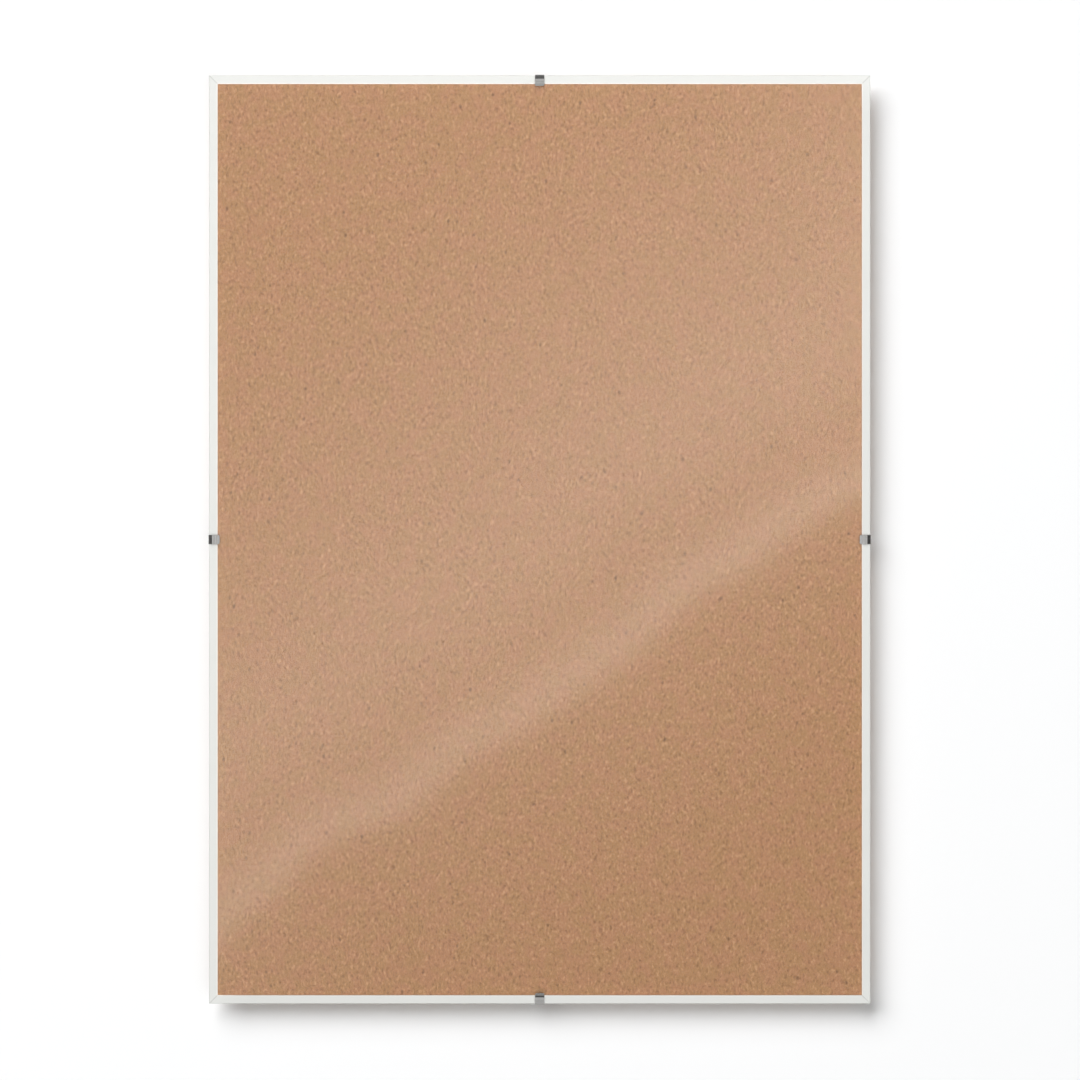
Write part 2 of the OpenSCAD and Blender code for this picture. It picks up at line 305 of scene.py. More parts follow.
@dataclass(frozen=True)
class Effect:
    """A shared node group that reads coordinates and a scale, and puts out masks."""

    name: str
    outputs: tuple[str, ...]

    def draw(self, graph: Graph, place: Socket) -> Sockets:
        """Draws the group on scaled coordinates, and returns a socket per output."""
        raise NotImplementedError

    def tree(self) -> bpy.types.NodeTree:
        """Builds the group once.

        Returns:
            The group, the same one on every call.
        """
        found = bpy.data.node_groups.get(self.name)
        if found is not None:
            return found
        made = bpy.data.node_groups.new(self.name, "ShaderNodeTree")
        ends = [("Vector", "INPUT", "Vector"), ("Scale", "INPUT", "Float")]
        ends += [(name, "OUTPUT", "Float") for name in self.outputs]
        for name, way, kind in ends:
            made.interface.new_socket(name, in_out=way, socket_type=f"NodeSocket{kind}")
        graph = Graph(made)
        start = graph.node("NodeGroupInput").outputs
        end = graph.node("NodeGroupOutput").inputs
        inputs = {0: start["Vector"], "Scale": start["Scale"]}
        scaled = graph.node("ShaderNodeVectorMath", inputs, operation="SCALE")
        for name, socket in self.draw(graph, scaled.outputs["Vector"]).items():
            graph.feed(end[name], socket)
        return made

    def use(
        self, graph: Graph, vector: Socket, scale: float
    ) -> bpy.types.bpy_prop_collection:
        """Places the group in a material.

        Args:
            graph: Tree of the material.
            vector: Coordinates that the effect follows.
            scale: Factor on the coordinates.

        Returns:
            The outputs of the placed group.
        """
        made = graph.node("ShaderNodeGroup", node_tree=self.tree())
        graph.feed(made.inputs["Vector"], vector)
        graph.feed(made.inputs["Scale"], scale)
        return made.outputs


class Handling(Effect):
    """Faint marks of handling: wiped smears and a little settled dust."""

    def draw(self, graph: Graph, place: Socket) -> Sockets:
        """Stretched noise makes the smears and scattered dots make the dust."""
        wiped = graph.mapping(place, (1.0, 1.0, 0.35), 38)
        smears = graph.ramp(graph.noise(wiped, 60.0, 4.0, 0.6, 0.6), 0.42, 0.75)
        patches = graph.ramp(graph.noise(place, 9.0, 3.0, 0.55), 0.48, 0.72)
        dots = graph.ramp(graph.cells(place, 420.0), 0.14, 0.05)
        rare = graph.ramp(graph.noise(place, 75.0, 2.0), 0.58, 0.68)
        return {
            "Smears": graph.math("MULTIPLY", smears, patches),
            "Dust": graph.math("MULTIPLY", dots, rare),
        }


class RolledLines(Effect):
    """Fine lines that rolling and drawing leave along sheet and wire."""

    def draw(self, graph: Graph, place: Socket) -> Sockets:
        """Noise squeezed across the grain gives fine lines, with a few deeper ones."""
        fine = graph.noise(graph.mapping(place, (25, 900, 900)), 1.0, 3.0, 0.7)
        deep = graph.noise(graph.mapping(place, (60, 2600, 2600)), 1.0, 1.0, 0.5)
        return {"Lines": fine, "Scratches": graph.ramp(deep, 0.70, 0.78)}


HANDLING = Handling("handling_marks", ("Smears", "Dust"))
ROLLED_LINES = RolledLines("rolled_lines", ("Lines", "Scratches"))


# Finishes


@dataclass(frozen=True)
class Finish:
    """A finish of one kind of surface, built as a material on first use."""

    name: str

    def draw(self, graph: Graph) -> Socket:
        """Draws the nodes of the finish, and returns the socket of its shader."""
        raise NotImplementedError

    def material(self) -> bpy.types.Material:
        """Builds the material once.

        Returns:
            The material, the same one on every call.
        """
        found = bpy.data.materials.get(self.name)
        if found is not None:
            return found
        made = bpy.data.materials.new(self.name)
        made.use_nodes = True
        graph = Graph(made.node_tree)
        graph.node("ShaderNodeOutputMaterial", {"Surface": self.draw(graph)})
        return made


@dataclass(frozen=True)
class ClearGlass(Finish):
    """Polished faces of the pane: clear float glass with faint wiped smears."""

    tint: Colour = (0.985, 0.995, 0.988)
    dust: Colour = (0.93, 0.93, 0.92)
    shadow: Colour = (0.99, 1.0, 0.99)
    index: float = 1.5

    def draw(self, graph: Graph) -> Socket:
        """Glass to the eye, and clear to shadow and bounce rays, to keep it clean."""
        marks = HANDLING.use(graph, graph.place(), 1.0)
        glass = graph.principled(
            {
                "Base Color": graph.mix(marks["Dust"], self.tint, self.dust),
                "Roughness": graph.ramp(marks["Smears"], 0.0, 1.0, (0.0, 0.035)),
                "IOR": self.index,
                "Metallic": 0.0,
                "Transmission Weight": 1.0,
            }
        )
        path = graph.node("ShaderNodeLightPath").outputs
        through = graph.math("MAXIMUM", path["Is Shadow Ray"], path["Is Diffuse Ray"])
        clear = graph.clear(self.shadow)
        return graph.shader_mix(through, glass, clear)


@dataclass(frozen=True)
class GroundGlass(Finish):
    """Satin bevel and edge of the pane: finely ground, pale and a little translucent.

    The mesh attribute `rim` is 1 on a thin band next to the clear face, where a lighter
    line is painted as a highlight, and falls to 0 over the bevel. A thin dark line is
    painted as shade along each corner ridge of the bevel, at equal distances from two
    edges.
    """

    ground: Colour = (0.545, 0.55, 0.53)
    # Colour of the lighter line painted as a highlight beside the clear face.
    painted_highlight: Colour = (0.62, 0.605, 0.575)
    # Colour of the dark lines painted as shade along the bevel's corner ridges.
    painted_mitre_shade: Colour = (0.22, 0.22, 0.21)
    dust: Colour = (0.70, 0.69, 0.66)
    half_w: float = PANE_W / 2 * MM
    half_h: float = PANE_H / 2 * MM

    def draw(self, graph: Graph) -> Socket:
        """Speckle over faint bands, a painted highlight line, painted shade at the
        mitres.
        """
        place = graph.place()
        marks = HANDLING.use(graph, place, 1.4)
        grit = graph.noise(place, 5200.0, 2.0, 0.6)
        bands = graph.noise(place, 26.0, 3.0, 0.55)
        tone = graph.math(
            "ADD",
            graph.ramp(grit, 0.3, 0.7, (-0.02, 0.02), False),
            graph.ramp(bands, 0.3, 0.7, (-0.012, 0.012), False),
        )
        parts = graph.parts(place)
        from_side, from_end = (
            graph.math("SUBTRACT", half, graph.math("ABSOLUTE", parts[axis]))
            for axis, half in (("X", self.half_w), ("Z", self.half_h))
        )
        # Painted shade: a thin dark line where the distances from two edges are equal.
        off_mitre = graph.math("ABSOLUTE", graph.math("SUBTRACT", from_side, from_end))
        mitre_shade_mask = graph.ramp(off_mitre, 0.0005, 0.0001, (0.0, 0.5))
        # Painted highlight: a lighter line on the band beside the clear face.
        colour = graph.mix(graph.attribute(PAINTED_HIGHLIGHT_LINE), self.ground, self.painted_highlight)
        colour = graph.mix(mitre_shade_mask, colour, self.painted_mitre_shade)
        shade = {"Color": colour, "Value": graph.math("ADD", tone, 1.0)}
        colour = graph.node("ShaderNodeHueSaturation", shade).outputs["Color"]
        dusty = graph.math("MULTIPLY", marks["Dust"], 0.5)
        colour = graph.mix(dusty, colour, self.dust)
        return graph.principled(
            {
                "Base Color": colour,
                "Roughness": graph.ramp(grit, 0.2, 0.8, (0.42, 0.58), False),
                "IOR": 1.5,
                "Metallic": 0.0,
                "Transmission Weight": 0.12,
                "Normal": graph.bump(grit, 0.25, 0.00002),
            }
        )


@dataclass(frozen=True)
class Hardboard(Finish):
    """Pressed wood fibre: warm tan with strokes, mottling and dark specks.

    The back face is duller and carries the fine imprint of the press screen.
    """

    pink: Colour = (0.296, 0.141, 0.068)
    olive: Colour = (0.278, 0.143, 0.060)
    dark: Colour = (0.116, 0.043, 0.014)
    pale: Colour = (0.470, 0.260, 0.138)
    speck: Colour = (0.080, 0.032, 0.012)
    rear: Colour = (0.430, 0.300, 0.200)
    stroke: float = 0.52
    screen: float = 2600.0
    back_y: float = 0.0

    def draw(self, graph: Graph) -> Socket:
        """Layers slow mottling, fibre strokes two ways, pale fibres and specks."""
        place = graph.place()
        drift = graph.noise(place, 90.0, 2.0, 0.6)
        strokes = []
        for stretch, lean, scale in ((0.66, 24, 640), (0.58, -42, 560)):
            stretched = graph.mapping(place, (1.0, 1.0, stretch), lean)
            strokes.append(graph.noise(stretched, scale, 2.0, 0.6, 0.5))
        fibre = graph.math("ADD", *strokes)
        colour = graph.mix(graph.ramp(drift, 0.36, 0.64), self.olive, self.pink)
        for low, high, tone in ((0.98, 0.70, self.dark), (1.02, 1.30, self.pale)):
            amount = graph.ramp(fibre, low, high, (0.0, self.stroke))
            colour = graph.mix(amount, colour, tone)
        speck_place = graph.mapping(place, (1.0, 1.0, 0.62), 12)
        specks = graph.ramp(graph.cells(speck_place, 165.0), 0.22, 0.08)
        chosen = graph.ramp(graph.noise(place, 210.0, 1.0), 0.55, 0.66)
        specks = graph.math("MULTIPLY", specks, chosen)
        colour = graph.mix(graph.math("MULTIPLY", specks, 0.6), colour, self.speck)
        parts = graph.parts(place)
        on_back = graph.ramp(parts["Y"], self.back_y - 0.00004, self.back_y - 0.00001)
        waves = [
            graph.math("SINE", graph.math("MULTIPLY", parts[axis], self.screen))
            for axis in "XZ"
        ]
        holes = graph.ramp(graph.math("MULTIPLY", *waves), -0.4, 0.8)
        holes = graph.math("MULTIPLY", holes, on_back)
        colour = graph.mix(graph.math("MULTIPLY", on_back, 0.45), colour, self.rear)
        colour = graph.mix(graph.math("MULTIPLY", holes, 0.30), colour, self.dark)
        fine = graph.noise(place, 2400.0, 1.0, 0.6)
        height = graph.math("ADD", graph.math("MULTIPLY", fine, 0.5), holes)
        return graph.principled(
            {
                "Base Color": colour,
                "Roughness": graph.ramp(fibre, 0.8, 1.2, (0.62, 0.80), False),
                "IOR": 1.45,
                "Specular IOR Level": 0.25,
                "Normal": graph.bump(height, 0.5, 0.00010),
            }
        )


@dataclass(frozen=True)
class BrightSteel(Finish):
    """Nickelled spring steel of the clips, or zinc-plated steel of the hangers."""

    metal: Colour = (0.84, 0.83, 0.81)
    dull: Colour = (0.74, 0.73, 0.71)
    scratch: Colour = (0.42, 0.41, 0.39)
    rough: tuple[float, float] = (0.10, 0.20)
    spangle: float = 0.0
    grain_from_uv: bool = True

    def draw(self, graph: Graph) -> Socket:
        """Rolled lines along the sheet, soft clouds of plating and handling marks."""
        place = graph.place()
        along = graph.uv() if self.grain_from_uv else place
        rolled = ROLLED_LINES.use(graph, along, 1.0)
        marks = HANDLING.use(graph, place, 6.0)
        clouds = graph.noise(place, 240.0, 3.0, 0.6)
        flakes = {0: graph.cells(place, 520.0, "Color")}
        flake = graph.node("ShaderNodeSeparateColor", flakes).outputs["Red"]
        rough = graph.ramp(rolled["Lines"], 0.3, 0.7, self.rough, False)
        for mark, amount in ((marks["Smears"], 0.12), (flake, self.spangle * 0.2)):
            rough = graph.math("ADD", rough, graph.math("MULTIPLY", mark, amount))
        tone = graph.ramp(clouds, 0.3, 0.7, (0.0, 0.55))
        colour = graph.mix(tone, self.metal, self.dull)
        for mark, amount, tint in (
            (flake, self.spangle, self.dull),
            (rolled["Scratches"], 0.35, self.scratch),
        ):
            colour = graph.mix(graph.math("MULTIPLY", mark, amount), colour, tint)
        return graph.principled(
            {
                "Base Color": colour,
                "Metallic": 1.0,
                "Roughness": rough,
                "Normal": graph.bump(rolled["Lines"], 0.18, 0.00002),
            }
        )


CLEAR_GLASS = ClearGlass("clear_float_glass")
GROUND_GLASS = GroundGlass("ground_bevel_glass")
CLIP_STEEL = BrightSteel("nickelled_spring_steel")
HANGER_ZINC = BrightSteel(
    "zinc_plated_sheet",
    metal=(0.66, 0.67, 0.68),
    dull=(0.50, 0.51, 0.53),
    rough=(0.24, 0.38),
    spangle=0.5,
    grain_from_uv=False,
)
RING_ZINC = BrightSteel(
    "zinc_plated_wire",
    metal=(0.66, 0.67, 0.68),
    dull=(0.52, 0.53, 0.55),
    rough=(0.20, 0.34),
    spangle=0.25,
)


# Mesh helpers


def add_object(name: str, data: bpy.types.ID) -> bpy.types.Object:
    """Puts a new object for mesh, light or camera data at the scene's origin."""
    made = bpy.data.objects.new(name, data)
    bpy.context.scene.collection.objects.link(made)
    return made


@contextmanager
def editing(mesh: bpy.types.Mesh) -> Iterator[bmesh.types.BMesh]:
    """Opens a mesh for editing and writes the outcome back."""
    work = bmesh.new()
    work.from_mesh(mesh)
    yield work
    work.to_mesh(mesh)
    work.free()


@dataclass
class Surface:
    """Vertices and faces of a mesh, with the values that its finish reads."""

    points: np.ndarray
    faces: list[np.ndarray]
    values: dict[str, np.ndarray] = field(default_factory=dict)
    along: np.ndarray | None = None

    def object(self, name: str, smooth: bool = True) -> bpy.types.Object:
        """Puts the surface into a new object at the origin.

        Args:
            name: Name of the piece.
            smooth: Whether faces are shaded smooth.

        Returns:
            The new object, with its faces turned outwards.
        """
        mesh = bpy.data.meshes.new(name)
        faces = [row for block in self.faces for row in block.tolist()]
        mesh.from_pydata(self.points.tolist(), [], faces)
        for key, values in self.values.items():
            made = mesh.attributes.new(key, "FLOAT", "POINT")
            made.data.foreach_set("value", values.astype(np.float32))
        if self.along is not None:
            corners = np.empty(len(mesh.loops), np.int32)
            mesh.loops.foreach_get("vertex_index", corners)
            layer = mesh.uv_layers.new(name=ALONG)
            layer.data.foreach_set("uv", self.along[corners].astype(np.float32).ravel())
        with editing(mesh) as work:
            bmesh.ops.recalc_face_normals(work, faces=work.faces)
        mesh.polygons.foreach_set("use_smooth", np.full(len(mesh.polygons), smooth))
        return add_object(name, mesh)


def lattice_faces(numbers: np.ndarray, wrap: bool = False) -> np.ndarray:
    """Faces between the neighbours in a lattice of point numbers.

    Args:
        numbers: Point numbers, of shape (rows, columns).
        wrap: Whether the last point of a row joins the first.

    Returns:
        Array of shape (faces, 4) of point numbers.
    """
    if wrap:
        numbers = np.concatenate([numbers, numbers[:, :1]], axis=1)
    near, far = numbers[:-1], numbers[1:]
    corners = [near[:, :-1], near[:, 1:], far[:, 1:], far[:, :-1]]
    return np.stack(corners, axis=-1).reshape(-1, 4)


def numbered(rows: int, columns: int, first: int = 0) -> np.ndarray:
    """Numbers the points of a grid row by row, from the first number on."""
    return first + np.arange(rows * columns).reshape(rows, columns)


def bent_path(corners: Line, radii: tuple[float, ...], step: float) -> np.ndarray:
    """Carries a point along a line whose corners are rounded by bends.

    At a corner that turns by an angle t with radius r, the straights end r tan(t / 2)
    before it, and an arc about the bend's middle joins them.

    Args:
        corners: Corners of the line in the plane.
        radii: Radius at each corner, 0 at the ends.
        step: Longest distance between neighbouring points.

    Returns:
        Array of shape (points, 2).
    """
    p = np.array(corners, float)
    d = np.diff(p, axis=0)
    d /= np.linalg.norm(d, axis=1)[:, None]
    cross = d[:-1, 0] * d[1:, 1] - d[:-1, 1] * d[1:, 0]
    turn = np.arctan2(cross, (d[:-1] * d[1:]).sum(axis=1))
    r = np.array(radii[1:-1], float)
    cut = r * np.tan(np.abs(turn) / 2)
    begins = p[1:-1] - d[:-1] * cut[:, None]
    normal = np.stack([-d[:-1, 1], d[:-1, 0]], axis=1)
    middles = begins + normal * (np.sign(turn) * r)[:, None]
    pieces = [p[:1]]
    for b, m, t, k in zip(begins, middles, turn, r):
        n = max(LEAST_BEND_STEPS, int(abs(t) / BEND_STEP), int(abs(t) * k / step) + 1)
        a = np.linspace(0.0, t, n + 1)
        x, y = b - m
        arc = [x * np.cos(a) - y * np.sin(a), x * np.sin(a) + y * np.cos(a)]
        pieces.append(m + np.stack(arc, axis=1))
    path = np.concatenate([*pieces, p[-1:]])
    gaps = np.linalg.norm(np.diff(path, axis=0), axis=1)
    filled = [
        a + (b - a) * np.linspace(0.0, 1.0, int(g / step) + 1, endpoint=False)[:, None]
        for a, b, g in zip(path[:-1], path[1:], gaps)
    ]
    return np.concatenate([*filled, path[-1:]])


def path_length(path: np.ndarray) -> np.ndarray:
    """Returns the distance along a path to each of its points."""
    steps = np.linalg.norm(np.diff(path, axis=0), axis=1)
    return np.concatenate([[0.0], np.cumsum(steps)])


def spread(
    line: np.ndarray, x: np.ndarray, start: float = 0.0
) -> tuple[np.ndarray, np.ndarray]:
    """Spreads a line sideways into the rows of a sheet.

    The point with place x across the row of a line's point (outward, depth) lies at
    (x, depth, outward).

    Args:
        line: Points of the line, of shape (rows, 2).
        x: Place across of each point, of shape (rows, columns).
        start: Distance along the sheet of the line's first point.

    Returns:
        The points, and their surface coordinates: distance along the sheet and x.
    """
    columns = (line[:, 1], line[:, 0], start + path_length(line))
    depth, outward, s = (np.broadcast_to(c[:, None], x.shape) for c in columns)
    points = np.stack([x, depth, outward], axis=-1)
    return points.reshape(-1, 3), np.stack([s, x], axis=-1).reshape(-1, 2)


def soften(piece: bpy.types.Object, width: float, angle: float = 38.0) -> None:
    """Rounds the sharp edges of a piece with a live bevel.

    Args:
        piece: Piece to finish.
        width: Width of the rounding in millimetres.
        angle: Least angle in degrees of an edge that is rounded.
    """
    bevel = piece.modifiers.new("edge_rounding", "BEVEL")
    bevel.width = width * MM
    bevel.segments = 2
    bevel.limit_method = "ANGLE"
    bevel.angle_limit = math.radians(angle)
    bevel.harden_normals = True
    bevel.use_clamp_overlap = True


def settle(
    piece: bpy.types.Object, finish: Finish, body: str, node: str
) -> None:
    """Gives a piece its finish, seats it on its body and hides the node it stands for.

    Args:
        piece: Piece to seat.
        finish: Finish that is added to its materials.
        body: CAD body that carries it.
        node: CAD node that it stands for.
    """
    piece.data.materials.append(finish.material())
    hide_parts(node)
    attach(piece, body)
    log.info("%s: %d faces, rides %s", piece.name, len(piece.data.polygons), body)


# Pieces


@dataclass
class GlassPane:
    """Clear pane with a wide ground bevel and fine arrises, in millimetres."""

    width: float = PANE_W
    height: float = PANE_H
    thickness: float = 2.0
    bevel_w: float = 5.5
    bevel_drop: float = 1.0
    front_y: float = FRONT_Y
    # Band beside the clear face where a lighter line is painted as a highlight, and the
    # factor on it where that painted highlight has faded out.
    painted_highlight_w: float = 0.55
    painted_highlight_fade: float = 1.25
    outer_arris: float = 0.5
    back_arris: float = 0.2

    def section(self) -> np.ndarray:
        """Profile of the rim from the clear front to the clear back.

        The bevel falls in a straight line from depth 0 at its inner edge to the
        bevel's drop at the pane's edge, and the outer and back arrises each cut a
        corner off it.

        Returns:
            Three rows: distance in from the pane's edge, depth behind the front, and
            the value of `rim`, which marks where a lighter line is painted as a
            highlight next to the clear face.
        """
        slope = self.bevel_drop / self.bevel_w
        w, line, cut = self.bevel_w, self.painted_highlight_w, self.outer_arris
        fade, fall = line * self.painted_highlight_fade, (w - cut) * slope
        # The first two rows, with `rim` 1, carry the painted highlight line.
        profile = (
            (w, 0.0, 1.0),
            (w - line, line * slope, 1.0),
            (w - fade, fade * slope, 0.0),
            ((w + cut) / 2, (w - cut) / 2 * slope, 0.0),
            (cut, fall, 0.0),
            (cut * 0.36, fall + cut * 0.3, 0.0),
            (0.0, fall + cut * 0.78, 0.0),
            (0.0, self.thickness - self.back_arris, 0.0),
            (self.back_arris, self.thickness, 0.0),
        )
        return np.array(profile).T

    def build(self) -> bpy.types.Object:
        """Carries the rim's profile round the rectangle, mitred at the corners.

        A point of the profile at inset i and depth d lies, at corner (a, b), at
        (a (width / 2 - i), front + d, b (height / 2 - i)).

        Returns:
            The pane.
        """
        inset, depth, rim = self.section()
        signs = np.array([(-1, -1), (1, -1), (1, 1), (-1, 1)], float)
        x = signs[None, :, 0] * (self.width / 2 - inset[:, None])
        z = signs[None, :, 1] * (self.height / 2 - inset[:, None])
        y = np.broadcast_to(self.front_y + depth[:, None], x.shape)
        points = np.stack([x, y, z], axis=-1).reshape(-1, 3) * MM
        grid = numbered(*x.shape)
        faces = [grid[:1], lattice_faces(grid, wrap=True), grid[-1:, ::-1]]
        surface = Surface(points, faces, {PAINTED_HIGHLIGHT_LINE: np.repeat(rim, len(signs))})
        return surface.object("glass_pane_dressed", smooth=False)

    def dress(self, pane: bpy.types.Object) -> None:
        """Gives the faces clear glass and the rim ground glass, and seats the pane.

        Args:
            pane: The pane's object.
        """
        pane.data.materials.append(CLEAR_GLASS.material())
        settle(pane, GROUND_GLASS, "back", "glass_pane")
        which = np.ones(len(pane.data.polygons), np.int32)
        which[[0, -1]] = 0
        pane.data.polygons.foreach_set("material_index", which)


@dataclass
class BackBoard:
    """Hardboard back, which keeps its CAD shape and gets its finish."""

    node: str = "back_board"

    def dress(self) -> None:
        """Puts the hardboard finish into the node's own material slots."""
        finish = Hardboard("pressed_hardboard", back_y=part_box(self.node)[1].y)
        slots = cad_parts[self.node].material_slots
        for slot in slots:
            slot.material = finish.material()
        log.info("%s: finish on %d slot(s)", self.node, len(slots))


@dataclass
class SpringClip:
    """Bent spring clip, in millimetres, drawn for the top edge and turned into place.

    The middle line is given as distance outward from the pane's edge and depth
    behind the front of the glass.
    """

    edge: Edge
    node: str
    body: str
    front_y: float = FRONT_Y
    sheet: float = 0.4
    rounding: float = 0.07
    lip_w: float = 6.0
    lip_corner_r: float = 0.8
    arm_w: float = 15.0
    shoulder_l: float = 7.0
    tab_corner_r: float = 3.5
    tooth_w: float = 4.0
    tooth_gap: float = 0.15
    tooth_in: float = 28.0
    tooth_end: float = 3.9
    tooth_bend_r: float = 0.35
    tooth_tip: float = 0.86
    tooth_steps: tuple[int, int] = (5, 3)
    window_l: float = 2.1
    lip_step: float = 0.35
    arm_step: float = 0.5
    front_line: Line = (
        (-7.1, -0.5),
        (-5.6, -0.3),
        (-4.3, -1.1),
        (-2.374, -1.1),
        (0.3, 0.989),
        (0.3, 3.96),
    )
    front_radii: tuple[float, ...] = (0.0, 0.6, 0.6, 0.6, 0.8, 0.0)
    rear_line: Line = (
        (0.3, 3.96),
        (0.3, 7.2),
        (-13.0, 8.5),
        (-25.5, 5.6),
        (-32.0, 5.6),
        (-37.0, 9.0),
    )
    rear_radii: tuple[float, ...] = (0.0, 1.1, 16.0, 5.0, 3.0, 0.0)

    @property
    def hinge(self) -> float:
        """Distance inward at which the tooth starts to bend, an end of its window."""
        return self.tooth_in - self.tooth_bend_r

    @property
    def tooth_share(self) -> float:
        """The tooth's width as a share of the arm's."""
        return self.tooth_w / self.arm_w

    @property
    def window_share(self) -> float:
        """The window's width as a share of the arm's."""
        return (self.tooth_w + 2 * self.tooth_gap) / self.arm_w

    def shares(self) -> np.ndarray:
        """Places across the strip as shares of its half width, some on the tooth."""
        tooth = self.tooth_share
        half = np.array([0.0, tooth / 2, tooth, self.window_share, 0.57, 0.86, 1.0])
        return np.concatenate([-half[:0:-1], half])

    def half_width(self, path: np.ndarray, rear: np.ndarray) -> np.ndarray:
        """Half of the strip's width at each point of its middle line.

        The lip is plain with a round toe. The arm widens in a straight line over its
        shoulders, and its end is round: within r of an end, the half width is what
        it was less r plus the square root of r squared less the square of the
        distance from the round's start.

        Args:
            path: Points of the middle line.
            rear: Whether each point is on the rear arm.

        Returns:
            Half width at each point.
        """
        inward = -path[:, 0]
        lip, arm = self.lip_w / 2, self.arm_w / 2
        neck = self.shoulder_l / 2
        grown = np.interp(inward, [neck, neck + self.shoulder_l], [lip, arm])
        width = np.where(rear, grown, lip)
        for on, end, r in (
            (~rear, inward[~rear].max(), self.lip_corner_r),
            (rear, inward.max(), self.tab_corner_r),
        ):
            past = np.clip(inward - (end - r), 0.0, r)
            cut = r - np.sqrt(np.maximum(r * r - past * past, 0.0))
            width = width - np.where(on, cut, 0.0)
        return width

    def middle_line(self) -> tuple[np.ndarray, np.ndarray]:
        """The whole middle line from the toe of the lip to the finger tab.

        The points next to the two ends of the tooth's window are moved onto them.

        Returns:
            Points of the line, and whether each is on the rear arm.
        """
        front = bent_path(self.front_line, self.front_radii, self.lip_step)
        rear = bent_path(self.rear_line, self.rear_radii, self.arm_step)
        off_land = 10 * (rear[:, 1] > rear[:, 1].min() + 0.01)
        for inward in (self.hinge, self.hinge + self.window_l):
            at = np.argmin(np.abs(-rear[:, 0] - inward) + off_land)
            rear[at, 0] = -inward
        path = np.concatenate([front, rear[1:]])
        return path, np.arange(len(path)) >= len(front)

    def tongue(self, land: float) -> np.ndarray:
        """Middle line of the tooth: a quarter circle off the arm, then straight in.

        Args:
            land: Depth of the arm's middle line where the tooth leaves it.

        Returns:
            Points of the line.
        """
        r, (round_steps, straight_steps) = self.tooth_bend_r, self.tooth_steps
        a = np.linspace(0.0, math.pi / 2, round_steps + 1)[1:]
        bend = np.stack([-self.hinge - r * np.sin(a), land - r + r * np.cos(a)], axis=1)
        depths = np.linspace(bend[-1, 1], self.tooth_end, straight_steps + 1)[1:]
        run = np.stack([np.full(len(depths), bend[-1, 0]), depths], axis=1)
        return np.concatenate([bend, run])

    def build(self) -> bpy.types.Object:
        """Spreads the middle line sideways into a sheet and bends the tooth out of it.

        A point of the sheet at share u across lies u times the half width from the
        middle. The tooth takes the place of the faces of its window.

        Returns:
            The clip as a sheet with live thickness and edge rounding.
        """
        path, rear = self.middle_line()
        half, shares = self.half_width(path, rear), self.shares()
        sheet, sheet_along = spread(path, half[:, None] * shares)
        inward = -path[:, 0]
        middle = (inward[:-1] + inward[1:]) / 2
        window = rear[1:] & (middle > self.hinge)
        window &= middle < self.hinge + self.window_l
        between = np.abs((shares[:-1] + shares[1:]) / 2) < self.window_share
        grid = numbered(len(path), len(shares))
        faces = lattice_faces(grid)[~(window[:, None] & between).ravel()]

        start = int(np.argmax(window))
        across = np.abs(shares) <= self.tooth_share + 1e-9
        line = self.tongue(path[start, 1])
        x = np.repeat(half[start] * shares[None, across], len(line), axis=0)
        x[-1] *= self.tooth_tip
        tooth, tooth_along = spread(line, x, path_length(path)[start])
        new = numbered(*x.shape, len(sheet))
        lattice = np.concatenate([grid[start, across][None], new])

        points = np.concatenate([sheet, tooth])
        points += (0.0, self.front_y, self.edge.distance)
        surface = Surface(
            self.edge.place(points) * MM,
            [faces, lattice_faces(lattice)],
            along=np.concatenate([sheet_along, tooth_along]) * MM,
        )
        clip = surface.object(f"{self.node}_sheet")
        with editing(clip.data) as work:
            loose = [v for v in work.verts if not v.link_faces]
            bmesh.ops.delete(work, geom=loose, context="VERTS")
        thick = clip.modifiers.new("sheet_thickness", "SOLIDIFY")
        thick.thickness = self.sheet * MM
        thick.offset = 0.0
        thick.use_even_offset = True
        soften(clip, self.rounding)
        return clip

    def dress(self, clip: bpy.types.Object) -> None:
        """Gives the clip its nickelled steel and seats it on its own body."""
        settle(clip, CLIP_STEEL, self.body, self.node)


